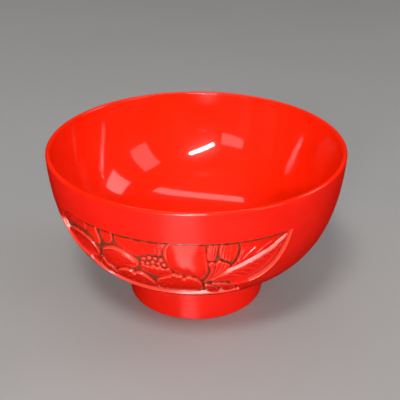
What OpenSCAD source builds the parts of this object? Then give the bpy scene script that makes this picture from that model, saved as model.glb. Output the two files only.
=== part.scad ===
// Rice bowl: a turned wooden bowl on a foot ring, coated with red lacquer.
// A sunk panel on the front is carved with a peony, its leaves and its buds.
// +Z is up. The origin is the centre of the foot's resting face. -Y is the front.

/* [Bowl] */
// Outer diameter at the lip
rim_d = 120; // [100:1:150]
// Height from the table to the top of the lip
bowl_h = 66.7; // [58:0.1:84]
// Thickness of the rounded lip
lip_t = 2; // [1.6:0.1:3]
// Height of the lowest point of the inside
inner_floor_z = 17.7; // [17:0.1:20]

/* [Foot] */
// Outer diameter of the foot ring
foot_d = 57; // [48:1:66]
// Height of the foot ring
foot_h = 13.1; // [10:0.1:14]
// Thickness of the wooden foot ring
foot_t = 3.4; // [2.5:0.1:5]
// Rounding of the foot's lower edges
foot_edge_r = 0.8; // [0.4:0.1:1.2]

/* [Lacquer] */
// Thickness of each lacquer coat
coat_t = 0.3; // [0.2:0.05:0.5]
// How far below the lip the lip's own coat begins
lip_coat_h = 2.7; // [2:0.1:5]

/* [Carving] */
// Depth of the sunk panel below the outside of the wall
panel_depth = 1.6; // [1:0.1:2]
// Highest relief above the panel's ground
relief_h = 1.3; // [0.8:0.1:1.5]
// Diameter of a stamen bead
bead_d = 1.8; // [1.4:0.1:1.9]

/* [Hidden] */
$fn = 160;

rim_r = rim_d / 2;
foot_r = foot_d / 2;
lip_r = lip_t / 2;
wall_top_z = bowl_h - lip_r;
wall_h = wall_top_z - foot_h;
lip_coat_z = bowl_h - lip_coat_h;
core_top_z = wall_top_z - 0.5;
core_cap_z = wall_top_z + 0.2;
well_r = foot_r - coat_t - foot_t;
steps = 36;

// The wall and the inside are Bezier curves. Their handles are shares of the curve's own
// width and height, measured from its lower end.
wall_foot = [foot_r, foot_h];
wall_handle_low = wall_foot + [0.37 * (rim_r - foot_r), 0.144 * wall_h];
wall_handle_high = wall_foot + [0.942 * (rim_r - foot_r), 0.216 * wall_h];
wall_lip = [rim_r, wall_top_z];

inner_r = rim_r - lip_t;
inner_h = wall_top_z - inner_floor_z;
inner_centre = [0, inner_floor_z];
inner_handle_low = inner_centre + [0.7 * inner_r, 0];
inner_handle_high = inner_centre + [0.913 * inner_r, 0.231 * inner_h];
inner_lip = [inner_r, wall_top_z];

// The carving is laid out by angle from the front and by height. Its heights are those of
// a wall that runs from 13.1 to 65.7, and they stretch with this one.
design_foot_z = 13.1;
design_wall_h = 52.6;
panel_top_z = 54;

function bezier(a, b, c, d, u) =
    pow(1 - u, 3) * a + 3 * pow(1 - u, 2) * u * b + 3 * (1 - u) * u * u * c + pow(u, 3) * d;
function bezier_way(a, b, c, d, u) =
    pow(1 - u, 2) * (b - a) + 2 * (1 - u) * u * (c - b) + u * u * (d - c);
function beside(p, way, gap) = p + gap * [-way.y, way.x] / norm(way);

// A point of the wall's section, and a point gap inside it
function wall(u) = bezier(wall_foot, wall_handle_low, wall_handle_high, wall_lip, u);
function wall_way(u) = bezier_way(wall_foot, wall_handle_low, wall_handle_high, wall_lip, u);
function wall_in(u, gap) = beside(wall(u), wall_way(u), gap);

// A point of the inside's section, and a point gap behind it
function inside(u) = bezier(inner_centre, inner_handle_low, inner_handle_high, inner_lip, u);
function inside_way(u) = bezier_way(inner_centre, inner_handle_low, inner_handle_high, inner_lip, u);
function inside_out(u, gap) = beside(inside(u), inside_way(u), -gap);

// Where on each curve a height is reached, found by halving
function wall_at(z, low = 0, high = 1, n = 18) =
    n == 0 ? (low + high) / 2 :
    wall((low + high) / 2).y < z ? wall_at(z, (low + high) / 2, high, n - 1) :
    wall_at(z, low, (low + high) / 2, n - 1);
function inside_at(z, low = 0, high = 1, n = 18) =
    n == 0 ? (low + high) / 2 :
    inside((low + high) / 2).y < z ? inside_at(z, (low + high) / 2, high, n - 1) :
    inside_at(z, low, (low + high) / 2, n - 1);

// A run of parameter values from a to b
function run(a, b, n = steps) = [for (i = [0:n]) a + (b - a) * i / n];

wall_lip_u = wall_at(lip_coat_z);
inside_lip_u = inside_at(lip_coat_z);
wall_core_u = wall_at(core_top_z);
inside_core_u = inside_at(core_top_z);
core_cap = [
    [wall_in(wall_core_u, coat_t).x, core_cap_z],
    [inside_out(inside_core_u, coat_t).x, core_cap_z]];

// ---- The turned bowl and its coats ----

module turned(points) {
    rotate_extrude() polygon(points);
}

// A band of coat on the outside of the wall, between two depths
module wall_band(depth_a, depth_b, u0, u1) {
    turned(concat(
        [for (u = run(u0, u1)) wall_in(u, depth_a)],
        [for (u = run(u1, u0)) wall_in(u, depth_b)]));
}

module wood_body() {
    color("burlywood") difference() {
        turned(concat(
            [for (u = run(0, wall_core_u)) wall_in(u, coat_t)],
            core_cap,
            [for (u = run(inside_core_u, 0)) inside_out(u, coat_t)],
            [[0, foot_h]]));
        panel_cut(panel_depth + coat_t);
    }
}

module wood_foot() {
    color("tan") difference() {
        translate([0, 0, coat_t]) cylinder(h = foot_h - coat_t, r = foot_r - coat_t);
        translate([0, 0, -1]) cylinder(h = foot_h + 2, r = well_r);
    }
}

module inner_lacquer() {
    color([0.93, 0.05, 0.03]) turned(concat(
        [for (u = run(0, inside_lip_u)) inside(u)],
        [for (u = run(inside_lip_u, 0)) inside_out(u, coat_t)]));
}

module lip_lacquer() {
    lip_arc = [for (a = [0:15:180]) [rim_r - lip_r + lip_r * cos(a), wall_top_z + lip_r * sin(a)]];
    color([0.95, 0.12, 0.1]) turned(concat(
        [for (u = run(wall_lip_u, 0.995, 6)) wall(u)],
        lip_arc,
        [for (u = run(0.995, inside_lip_u, 6)) inside(u)],
        [inside_out(inside_lip_u, coat_t)],
        [inside_out(inside_core_u, coat_t), core_cap[1], core_cap[0], wall_in(wall_core_u, coat_t)],
        [wall_in(wall_lip_u, coat_t)]));
}

module outer_lacquer() {
    color([0.86, 0.06, 0.04]) difference() {
        wall_band(0, coat_t, 0, wall_lip_u);
        panel_cut(panel_depth);
    }
}

module foot_lacquer() {
    edge = [for (a = [0:15:90])
        [foot_r - foot_edge_r + foot_edge_r * sin(a), foot_edge_r - foot_edge_r * cos(a)]];
    color([0.84, 0.06, 0.04]) turned(concat(
        [[well_r, 0]],
        edge,
        [[foot_r, foot_h], [foot_r - coat_t, foot_h]],
        [[foot_r - coat_t, coat_t], [well_r, coat_t]]));
}

module foot_well_lacquer() {
    color([0.7, 0.05, 0.03]) difference() {
        cylinder(h = foot_h, r = well_r);
        translate([0, 0, -1]) cylinder(h = foot_h + 1 - coat_t, r = well_r - coat_t);
    }
}

// ---- The sunk panel ----

// Points of the panel's outline, each an angle from the front and a height. The upper run and
// the lower run both go from the left tip to the right tip.
panel_upper = [[-66.4, 45.2], [-65, 46.9], [-60.5, 50.6], [-56, 53.2], [-52, 53.9], [-48, 54],
    [0, 54], [35.8, 54]];
panel_lower_left = [[-66.4, 44.4], [-65, 41.4], [-61.6, 38], [-56.6, 35.2], [-50.8, 33.4]];
panel_lower = [[-49.8, 32.4], [-47.4, 29], [-43.4, 26], [-36.5, 24.4], [-26, 23.9], [0, 23.9],
    [12, 24.2], [20.5, 24.8]];
panel_lower_right = [[20.6, 31], [24, 31.9], [28, 34.3], [31.2, 38], [33.4, 42.6], [34.9, 47.6],
    [35.8, 53.4]];
// A spur of the wall that reaches into the panel over the low leaves: its lower edge, from its
// tip, and its upper edge's height
spur_lower = [[14.3, 31.6], [16.8, 30.2], [18.8, 28.2], [20.5, 25]];
spur_top_z = 31;
// Where the spur joins the wall beside the panel: its angle and its two heights
spur_root = [22, 24, 30];

function on_wall_z(z) = foot_h + (z - design_foot_z) * wall_h / design_wall_h;

// A point at an angle from the front, a design height, and a depth under the outside
function carved(a, z, depth) =
    let (p = wall_in(wall_at(on_wall_z(z)), depth))
    [p.x * sin(a), -p.x * cos(a), p.y];

// Catmull-Rom curve through points, open or closed
function spline_point(p0, p1, p2, p3, t) =
    0.5 * (2 * p1 + (p2 - p0) * t + (2 * p0 - 5 * p1 + 4 * p2 - p3) * t * t
        + (3 * p1 - p0 - 3 * p2 + p3) * t * t * t);
function open_curve(p, n) = concat(
    [for (i = [0:len(p) - 2], j = [0:n - 1])
        spline_point(p[max(i - 1, 0)], p[i], p[i + 1], p[min(i + 2, len(p) - 1)], j / n)],
    [p[len(p) - 1]]);
function closed_curve(p, n) =
    [for (i = [0:len(p) - 1], j = [0:n - 1])
        spline_point(p[(i + len(p) - 1) % len(p)], p[i], p[(i + 1) % len(p)],
            p[(i + 2) % len(p)], j / n)];

lower_edge = concat(open_curve(panel_lower_left, 3), open_curve(panel_lower, 4),
    open_curve(panel_lower_right, 3));
upper_edge = open_curve(panel_upper, 4);

// A block that runs through the wall, over sides that are each an angle and two heights
module wall_prism(sides) {
    through = 5;
    n = len(sides);
    points = [for (s = sides, d = [-through, through], z = [s[1], s[2]]) carved(s[0], z, d)];
    skin = [for (i = [0:n - 2], q = [[0, 1], [1, 3], [3, 2], [2, 0]])
        each [[4 * i + q[0], 4 * i + q[1], 4 * i + 4 + q[1]],
            [4 * i + q[0], 4 * i + 4 + q[1], 4 * i + 4 + q[0]]]];
    last = 4 * (n - 1);
    ends = [[0, 2, 3], [0, 3, 1], [last, last + 1, last + 3], [last, last + 3, last + 2]];
    polyhedron(points, concat(skin, ends));
}

// The panel's whole outline, less the spur
module panel_prism() {
    difference() {
        wall_prism([for (p = lower_edge) [p.x, p.y, min(lookup(p.x, upper_edge), panel_top_z)]]);
        wall_prism(concat(
            [for (p = open_curve(spur_lower, 3)) [p.x, p.y, max(spur_top_z, p.y + 0.05)]],
            [spur_root]));
    }
}

// What is cut away from the wall down to a depth
module panel_cut(depth) {
    intersection() {
        wall_band(-1, depth, wall_at(on_wall_z(20)), wall_at(on_wall_z(60)));
        panel_prism();
    }
}

module panel_ground() {
    color([0.42, 0.2, 0.06]) intersection() {
        wall_band(panel_depth, panel_depth + coat_t, wall_at(on_wall_z(20)), wall_at(on_wall_z(60)));
        panel_prism();
    }
}

// ---- The relief ----

function middle(points) = [for (k = [0, 1]) [for (p = points) p[k]] * [for (p = points) 1] / len(points)];

// One piece of relief: its foot follows its outline on the panel's ground, its side rises to
// edge of its height, and its top swells to the middle. A hollow above zero dips the middle.
module relief(outline, height = 1, edge = 0.55, hollow = 0, centre = undef, detail = 3) {
    rim = closed_curve(outline, detail);
    mid = is_undef(centre) ? middle(rim) : centre;
    shares = [1, 0.93, 0.78, 0.5];
    n = len(rim);
    m = len(shares);
    rise = height * relief_h;
    swell = function(f) edge + (1 - edge) * sqrt(1 - pow(f, 3)) - hollow * pow(1 - f, 2);
    low = [for (f = shares, p = rim) let (q = mid + f * (p - mid)) carved(q.x, q.y, panel_depth)];
    high = [for (f = shares, p = rim)
        let (q = mid + f * (p - mid)) carved(q.x, q.y, panel_depth - rise * swell(f))];
    ends = [carved(mid.x, mid.y, panel_depth), carved(mid.x, mid.y, panel_depth - rise * swell(0))];
    band = function(a, b) [for (i = [0:n - 1]) let (j = (i + 1) % n)
        each [[a + i, b + i, b + j], [a + i, b + j, a + j]]];
    top = n * m;
    faces = concat(
        [for (k = [0:m - 2]) each band(n * (k + 1), n * k)],
        [for (k = [0:m - 2]) each band(top + n * k, top + n * (k + 1))],
        band(0, top),
        [for (i = [0:n - 1]) let (j = (i + 1) % n) [2 * top, n * (m - 1) + i, n * (m - 1) + j]],
        [for (i = [0:n - 1]) let (j = (i + 1) % n, k = top + n * (m - 1)) [2 * top + 1, k + j, k + i]]);
    polyhedron(concat(low, high, ends), faces);
}

petal_red = [0.9, 0.12, 0.08];
leaf_red = [0.82, 0.12, 0.06];

module round_petal() {
    color(petal_red) relief([[-11.9, 49.2], [-10.8, 52.4], [-8.4, 53.9], [-3, 53.9], [2.4, 53.9],
        [3.1, 50], [3.8, 45.2], [4.5, 41], [4.4, 38.4], [3.4, 36.4], [1.9, 34.8], [0.4, 36.2],
        [-2.6, 37.8], [-5.4, 37.9], [-8.5, 39.5], [-10.8, 42.8], [-11.8, 46]], 1, centre = [-4, 45]);
}

module lower_middle_petal() {
    color(petal_red) relief([[-16.9, 30.4], [-16, 33.1], [-14, 35.1], [-11.2, 36.5], [-9.4, 37.8],
        [-8.4, 38.1], [-7.5, 37.4], [-6.4, 37.6], [-5.4, 37.1], [-4.8, 35.5], [-4.1, 36.4],
        [-3, 37], [-1.8, 36.5], [-1, 35.9], [0.6, 35], [1.9, 33.2], [2.6, 31], [2.9, 28.4],
        [1.4, 24.4], [-6, 24], [-13.5, 24.3], [-16.2, 26.8]], 0.95, centre = [-7, 31]);
}

module lower_left_petal() {
    color(petal_red) relief([[-36.4, 30.6], [-34.6, 32.9], [-32.4, 34.7], [-30.2, 35.8],
        [-28.2, 36.2], [-26.4, 35.8], [-25.3, 34.6], [-24.5, 35.8], [-23.2, 36.2], [-21.4, 35.7],
        [-19.4, 33.8], [-17.8, 31], [-17.4, 28], [-18.6, 24.4], [-25, 23.9], [-32, 24.6],
        [-37, 26.6]], 0.9, centre = [-26.4, 31]);
}

module left_petal() {
    color(petal_red) relief([[-39.2, 40.5], [-38.2, 42.8], [-36.6, 44.4], [-34, 45.8],
        [-31.2, 46.4], [-28.2, 45.9], [-25.6, 44.8], [-23.4, 43.1], [-22.2, 41.2], [-22.6, 39.6],
        [-24.4, 38.3], [-27.6, 37.2], [-30.6, 36.4], [-33.2, 34.6], [-35.8, 33.6], [-38, 34.8],
        [-39.4, 37.4]], 0.95, hollow = 0.25);
}

module upper_petal() {
    color(petal_red) relief([[-30, 53.5], [-24, 53.9], [-16, 53.9], [-9.8, 53.8], [-11.3, 51.6],
        [-12.4, 49], [-13.3, 47], [-17, 46.9], [-19.8, 45.9], [-22, 44.9], [-23.6, 44.7],
        [-26.2, 46.2], [-29.4, 47.4], [-30.4, 50]], 0.8, centre = [-19.5, 50]);
}

module inner_petal() {
    color(petal_red) relief([[-21.6, 39.9], [-21, 38], [-18.6, 36.2], [-16, 35.4], [-13, 36],
        [-10.4, 37.6], [-9.3, 39.2], [-10.4, 40.8], [-12, 40.2], [-13.4, 40.4], [-15.2, 40.5],
        [-17.2, 40.6], [-19.2, 40.8], [-20.8, 41]], 0.75, centre = [-15.6, 38.4]);
}

module far_left_petal() {
    color(petal_red) relief([[-40.4, 37.2], [-39.6, 34.2], [-37.4, 32], [-37.2, 28.8], [-40, 27],
        [-44, 28.4], [-45.2, 31.6], [-43, 34.8]], 0.7);
}

module strip_petal() {
    color(petal_red) relief([[-44.2, 53.5], [-39.6, 53.7], [-38.9, 50.6], [-38.3, 47.4],
        [-39, 44.9], [-41.4, 45.6], [-43.4, 47.8], [-44.6, 50.6]], 0.75, centre = [-41.2, 49.6]);
}

// Beads of the stamens in three uneven rows, each an angle and a height
bead_places = [[-19.6, 44.2], [-17.3, 45.1], [-15.1, 45.1], [-12.9, 44.7], [-20.4, 41.9],
    [-18.3, 42.1], [-16.2, 43.1], [-14.1, 42.8], [-12, 42.5], [-16.2, 41.1], [-13.8, 40.9]];

module stamens() {
    bead_depth = panel_depth - bead_d * 0.3;
    color([0.95, 0.35, 0.28]) for (b = bead_places)
        translate(carved(b.x, b.y, bead_depth)) sphere(d = bead_d, $fn = 32);
}

module calyx() {
    color(petal_red) relief([[4.5, 43.6], [5.5, 44.6], [6.4, 44.4], [7, 43.7], [7.8, 44.7],
        [8.7, 45], [9.7, 44.2], [11.4, 43.4], [12.5, 42.2], [11.4, 40], [9, 37.5], [6.8, 35.6],
        [4.9, 33.6], [3.2, 33.2], [4.4, 35.6], [5.2, 38], [5.5, 40.6], [5.1, 42.2]],
        0.75, centre = [8.2, 41.2]);
}

module slim_bud() {
    color(petal_red) relief([[3.9, 49.8], [4.2, 53.2], [6, 53.8], [7.8, 53.4], [7.4, 50],
        [6.9, 46.8], [6.1, 45.3], [4.7, 45.4], [3.9, 46.9]], 0.8);
}

module full_bud() {
    color(petal_red) relief([[8.1, 50], [8.8, 53.2], [11.4, 53.8], [14.3, 53.4], [14.8, 50],
        [14.4, 46.8], [13.3, 44.4], [11.8, 44.5], [10, 45.6], [8.6, 46.9]], 0.9);
}

module left_bud() {
    color(petal_red) relief([[-36.6, 52.6], [-34, 53.7], [-31.9, 53], [-31.8, 49.6], [-33.4, 47.7],
        [-35.6, 47.6], [-36.7, 49.8]], 0.7);
}

module right_leaf_upper_blade() {
    color(leaf_red) relief([[13.1, 41.1], [14.6, 43.6], [15.5, 46.8], [15.9, 50], [15.4, 53.6],
        [22, 53.8], [33.4, 53.6], [30.2, 50.4], [25, 47.4], [19.6, 44.6], [15.6, 42.4]],
        0.8, centre = [20.6, 49]);
}

module right_leaf_lower_blade() {
    color(leaf_red) relief([[5.6, 33.8], [8.8, 35.4], [12.4, 37.6], [16.4, 39.2], [22, 41.8],
        [28, 45], [32, 48], [34.6, 51], [34.3, 48.2], [32.9, 43.8], [30.4, 39.2], [27.2, 35.8],
        [23.6, 33.5], [19.6, 32.5], [14, 32.5], [9, 33.1]], 0.8, centre = [22, 38.4]);
}

// The leaf's raised midrib, a slim lens along its line from the stalk to the tip
midrib_line = [[5.4, 34.6], [8, 36.5], [10.4, 38.3], [12.8, 39.6], [15.4, 40.7], [20, 42.8],
    [25, 45.3], [30, 48.2], [35, 52.2]];
midrib_half = 0.5;

module right_leaf_midrib() {
    n = len(midrib_line);
    way = function(i) let (d = midrib_line[min(i + 1, n - 1)] - midrib_line[max(i - 1, 0)]) d / norm(d);
    off = function(i, side) midrib_line[i] + side * midrib_half * [-way(i).y, way(i).x];
    color([0.95, 0.45, 0.38]) relief(concat(
        [midrib_line[0]], [for (i = [1:n - 2]) off(i, -1)],
        [midrib_line[n - 1]], [for (i = [n - 2:-1:1]) off(i, 1)]),
        1, edge = 0.9, centre = [19, 42.35], detail = 2);
}

module short_low_leaf() {
    color(leaf_red) relief([[3.4, 31.6], [5.6, 31.7], [8, 30.4], [9.6, 28.6], [10.6, 25.2],
        [8.4, 24.5], [5.4, 26], [4, 29.2]], 0.7, centre = [7, 29]);
}

module long_low_leaf() {
    color(leaf_red) relief([[6.4, 32.5], [9.6, 32.3], [13.4, 31.2], [16.4, 29.4], [18.6, 26.9],
        [18.6, 25.3], [15, 24.7], [12, 26.6], [10.4, 28.8], [8.4, 30.8]], 0.7, centre = [13, 29.4]);
}

module upper_left_leaf() {
    color(leaf_red) relief([[-63.4, 46.4], [-60.6, 49.4], [-57, 52], [-53.4, 53.4], [-49, 53.8],
        [-45.3, 53.6], [-44.9, 50.8], [-45.8, 48.6], [-50, 48.8], [-56, 48.3], [-60.4, 46.9]],
        0.8, centre = [-53, 50.6]);
}

module large_left_leaf() {
    color(leaf_red) relief([[-61.2, 41.6], [-59, 44.2], [-55, 46.2], [-50.4, 46.9], [-46.2, 46.6],
        [-42.8, 45], [-40.9, 42.6], [-40.4, 40], [-42.6, 37.8], [-47, 36.2], [-52, 35.4],
        [-57, 36.6], [-60.4, 39]], 0.9, hollow = 0.35);
}

module small_left_leaf() {
    color(leaf_red) relief([[-50.2, 33.4], [-47.8, 35.1], [-44, 36.7], [-41.2, 37.6], [-43.4, 35],
        [-45.9, 32], [-48.4, 31]], 0.65, centre = [-46, 34.4]);
}

wood_body();
wood_foot();
inner_lacquer();
lip_lacquer();
outer_lacquer();
foot_lacquer();
foot_well_lacquer();
panel_ground();
round_petal();
lower_middle_petal();
lower_left_petal();
left_petal();
upper_petal();
inner_petal();
far_left_petal();
strip_petal();
stamens();
calyx();
slim_bud();
full_bud();
left_bud();
right_leaf_upper_blade();
right_leaf_lower_blade();
right_leaf_midrib();
short_low_leaf();
long_low_leaf();
upper_left_leaf();
large_left_leaf();
small_left_leaf();
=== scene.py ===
"""Looks of a red lacquer rice bowl: a turned bowl in its coats, with a carved peony panel on its front.

Lengths are millimetres until points are placed, and then metres. Angles on the bowl are degrees from
its front (-Y), positive towards +X. Heights are above the face that the foot rests on.
"""
import math

import bmesh
import bpy
import numpy as np
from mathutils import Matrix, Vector


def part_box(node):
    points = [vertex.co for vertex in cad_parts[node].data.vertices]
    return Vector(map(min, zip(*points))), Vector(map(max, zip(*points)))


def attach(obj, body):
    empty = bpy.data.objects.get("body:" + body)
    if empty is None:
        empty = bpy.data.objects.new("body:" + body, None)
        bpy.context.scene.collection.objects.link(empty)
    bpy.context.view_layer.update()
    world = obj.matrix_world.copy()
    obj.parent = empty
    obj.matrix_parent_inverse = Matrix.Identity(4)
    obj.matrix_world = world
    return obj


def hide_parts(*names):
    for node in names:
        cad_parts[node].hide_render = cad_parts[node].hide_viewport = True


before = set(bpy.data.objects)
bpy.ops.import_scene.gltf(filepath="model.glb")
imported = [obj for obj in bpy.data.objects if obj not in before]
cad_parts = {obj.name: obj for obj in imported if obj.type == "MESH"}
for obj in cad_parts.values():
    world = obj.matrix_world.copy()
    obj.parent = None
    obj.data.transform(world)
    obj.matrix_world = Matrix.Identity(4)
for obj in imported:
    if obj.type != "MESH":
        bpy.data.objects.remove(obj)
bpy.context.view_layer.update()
scene = bpy.context.scene

# ---- Sizes, in millimetres ----

MM = 0.001
SMALL = 1e-9


def node_heights(node):
    """Heights of a CAD node's lowest and highest points."""
    low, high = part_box(node)
    return low[2] / MM, high[2] / MM


BOWL_H = node_heights("lip_lacquer")[1]
RIM_R = 60.0
FOOT_R = 28.5
FOOT_H = node_heights("foot_lacquer")[1]
LIP_T = 2.0
LIP_R = LIP_T / 2
COAT_T = 0.3
FOOT_T = 3.4
FOOT_EDGE_R = 0.8
WELL_EDGE_R = 0.5
WELL_FILLET_R = 1.2
PANEL_DEPTH = 1.6
INNER_FLOOR_Z = node_heights("inner_lacquer")[0] + COAT_T
WALL_TOP_Z = BOWL_H - LIP_R
# Where the lip's coats end and the outside's and inside's coats begin
LIP_COAT_Z = BOWL_H - 2.7
PANEL_TOP_Z = 54.0

# How finely the meshes are made, and the angle from which an edge is kept sharp
TURN_STEPS = 288
CURVE_SAMPLES = 3000
SHARP_DEG = 42


# ---- The bowl's section ----

class Section:
    """A Bezier curve of radius against height, with its direction and its length along the way.

    Its two handles are given as shares of the way across and up from its start to its end.
    """

    def __init__(self, start, low_handle, high_handle, end):
        u = np.linspace(0, 1, CURVE_SAMPLES)[:, None]
        a, d = np.array(start, float), np.array(end, float)
        b, c = (a + (d - a) * handle for handle in (low_handle, high_handle))
        p = (1 - u) ** 3 * a + 3 * (1 - u) ** 2 * u * b + 3 * (1 - u) * u * u * c + u ** 3 * d
        way = np.gradient(p, axis=0)
        self.way = way / np.linalg.norm(way, axis=1)[:, None]
        self.r, self.z = p[:, 0], p[:, 1]
        self.length = np.concatenate([[0], np.cumsum(np.linalg.norm(np.diff(p, axis=0), axis=1))])

    def beside(self, z, gap):
        """Radius and height of the point gap to the left of the curve's direction at height z."""
        r = np.interp(z, self.z, self.r)
        wr = np.interp(z, self.z, self.way[:, 0])
        wz = np.interp(z, self.z, self.way[:, 1])
        return r - wz * gap, z + wr * gap

    def along(self, z):
        """Length along the curve at height z."""
        return np.interp(z, self.z, self.length)

    def height(self, s):
        """Height at length s along the curve."""
        return np.interp(s, self.length, self.z)

    def heights(self, z0, z1, count):
        """Heights evenly spaced along the curve from z0 to z1."""
        return self.height(np.linspace(self.along(z0), self.along(z1), count))


WALL = Section((FOOT_R, FOOT_H), (0.37, 0.144), (0.942, 0.216), (RIM_R, WALL_TOP_Z))
INSIDE = Section((0, INNER_FLOOR_Z), (0.7, 0), (0.913, 0.231), (RIM_R - LIP_T, WALL_TOP_Z))


def placed(angle, radius, z):
    """Points in metres at an angle in degrees from the front, a radius and a height."""
    a = np.radians(angle)
    return np.stack([radius * np.sin(a), -radius * np.cos(a), z + 0 * a], -1) * MM


def carved(angle, height, depth):
    """Points in metres at an angle, a height on the wall, and a depth under its surface."""
    radius, z = WALL.beside(height, depth)
    return placed(angle, radius, z)


# ---- Mesh helpers ----

def add_object(name, data):
    """An object in the scene, made of a mesh, a lamp or a camera."""
    made = bpy.data.objects.new(name, data)
    scene.collection.objects.link(made)
    return made


def point_values(mesh, label, values):
    """Stores a value from 0 to 1 at each point, for a material to read."""
    layer = mesh.attributes.new(label, "FLOAT", "POINT")
    layer.data.foreach_set("value", held(values).astype(np.float32))


def mesh_object(name, points, faces, tone_and_shade=None, painted_highlight=None):
    """A smooth-shaded mesh, with its point values of toning with painted shade, and of painted highlight,
    where they are given.
    """
    mesh = bpy.data.meshes.new(name)
    mesh.from_pydata([tuple(p) for p in points], [], [tuple(int(i) for i in f) for f in faces])
    mesh.validate()
    outward = bmesh.new()
    outward.from_mesh(mesh)
    bmesh.ops.recalc_face_normals(outward, faces=outward.faces)
    outward.to_mesh(mesh)
    outward.free()
    mesh.shade_smooth()
    mesh.set_sharp_from_angle(angle=math.radians(SHARP_DEG))
    for label, values in (("tone_and_shade", tone_and_shade), ("painted_highlight", painted_highlight)):
        if values is not None:
            point_values(mesh, label, values)
    mesh.update()
    return add_object(name, mesh)


def grid_faces(rows, columns, closed, start=0):
    """Quads of a grid of rows by columns points, closed round its columns or not."""
    faces = []
    for i in range(rows - 1):
        for j in range(columns if closed else columns - 1):
            k = (j + 1) % columns
            faces.append((start + i * columns + j, start + i * columns + k,
                          start + (i + 1) * columns + k, start + (i + 1) * columns + j))
    return faces


def finish_piece(piece, finish, *nodes):
    """Gives a piece its material, hangs it under the root, and hides the CAD nodes that it stands for."""
    material, slot = finish
    piece.data.materials.append(material)
    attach(piece, "root")
    if nodes:
        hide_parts(*nodes)


def merged_faces(faces):
    """Faces without corners that come twice. Those left with fewer than three corners go."""
    merged = (tuple(dict.fromkeys(face)) for face in faces)
    return [face for face in merged if len(face) > 2]


def turned(name, section):
    """A solid turned from a closed section of radius and height points."""
    section = np.array(section, float)
    angles = np.arange(TURN_STEPS) * 360 / TURN_STEPS
    points, faces, rings = [], [], []
    for r, z in section:
        if r < SMALL:
            rings.append([len(points)])
            points.append((0, 0, z * MM))
        else:
            rings.append(list(range(len(points), len(points) + TURN_STEPS)))
            points.extend(placed(angles, r, z))
    for a, b in zip(rings, rings[1:] + rings[:1]):
        for j in range(TURN_STEPS):
            k = (j + 1) % TURN_STEPS
            faces.append((a[j % len(a)], b[j % len(b)], b[k % len(b)], a[k % len(a)]))
    return mesh_object(name, points, merged_faces(faces))


def spline(points, closed, detail):
    """Catmull-Rom curve through points, with detail steps from each point to the next."""
    p = np.array(points, float)
    padded = np.vstack([p[-1:], p, p[:2]] if closed else [p[:1], p, p[-1:]])
    out = []
    for a, b, c, d in zip(padded, padded[1:], padded[2:], padded[3:]):
        for t in np.arange(detail) / detail:
            out.append(0.5 * (2 * b + (c - a) * t + (2 * a - 5 * b + 4 * c - d) * t * t
                              + (3 * b - a - 3 * c + d) * t ** 3))
    if not closed:
        out.append(p[-1])
    return np.array(out)


def even(points, closed, count):
    """The same line with count points at even spacing."""
    p = np.vstack([points, points[:1]]) if closed else points
    s = np.concatenate([[0], np.cumsum(np.linalg.norm(np.diff(p, axis=0), axis=1))])
    at = np.linspace(0, s[-1], count, endpoint=not closed)
    return np.stack([np.interp(at, s, p[:, k]) for k in (0, 1)], 1)


def distance(x, y, line, closed=False):
    """Distance of each point from a line of points."""
    p = np.vstack([line, line[:1]]) if closed else np.array(line, float)
    best = np.full(x.shape, np.inf)
    for a, b in zip(p[:-1], p[1:]):
        way = b - a
        t = held(((x - a[0]) * way[0] + (y - a[1]) * way[1]) / max(way @ way, SMALL ** 2))
        best = np.minimum(best, np.hypot(x - a[0] - t * way[0], y - a[1] - t * way[1]))
    return best


def held(values):
    """Values held between 0 and 1."""
    return np.clip(values, 0, 1)


def ripple(x, y, size, seed=0.0):
    """A gentle irregular field between about -1 and 1, with features of a given size."""
    k = 2 * math.pi / size
    return (np.sin(k * (x + 0.31 * y) + 1.7 * seed) + np.sin(k * (0.83 * y - 0.41 * x) + 2.3 + seed)
            + np.sin(0.61 * k * (x - y) + 4.1 * seed) + np.sin(1.43 * k * (0.5 * x + y) + 0.7)) / 4


def bevel(distance_in, width):
    """A quarter round that rises from 0 at the edge to 1 at width."""
    t = held(distance_in / width)
    return np.sqrt(1 - (1 - t) ** 2)


def shoulder(distance_in, width):
    """A rise from 0 to 1 at width that holds a steep slant, so that an edge catches the light."""
    slant = held(distance_in / width)
    return 0.35 * bevel(distance_in, width) + 0.65 * np.sin(0.5 * math.pi * slant)


def ridge(distance_from, width):
    """A smooth bump that is 1 on a line and fades over width."""
    return np.exp(-(distance_from / width) ** 2)


# ---- Materials ----

def rgb(r, g, b):
    """Linear colour from sRGB values of 0 to 255."""
    return tuple(((c / 255 + 0.055) / 1.055) ** 2.4 if c > 10 else c / 255 / 12.92
                 for c in (r, g, b)) + (1,)


VERMILION = rgb(236, 20, 0)
INSIDE_RED = rgb(226, 28, 0)
DEEP_RED = rgb(222, 18, 2)
PETAL_RED = rgb(250, 26, 2)
LEAF_RED = rgb(240, 22, 4)
# The colour of the painted highlights on the carving
PAINTED_HIGHLIGHT_RED = rgb(255, 104, 84)
# Toning of the carving's hollows and its ground, also used for painted shade
TONE_AND_SHADE_BROWN = rgb(126, 66, 26)
TONE_AND_SHADE_DARK = rgb(86, 15, 5)
WOOD_LIGHT = rgb(188, 140, 92)
WOOD_DARK = rgb(136, 92, 54)
FLOOR_DARK = rgb(134, 133, 132)
FLOOR_LIGHT = rgb(140, 139, 138)

# How far the lacquer's colour drifts from its own, and how strongly the painted highlight pales it
DRIFT_DARK, DRIFT_LIGHT, DRIFT_LIFT = 0.86, 1.08, 0.004
PAINTED_HIGHLIGHT_AMOUNT = 0.36

# Places of a colour mix node's sockets, which share their names with its other kinds
MIX_A, MIX_B, MIX_RESULT = 6, 7, 2


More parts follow.
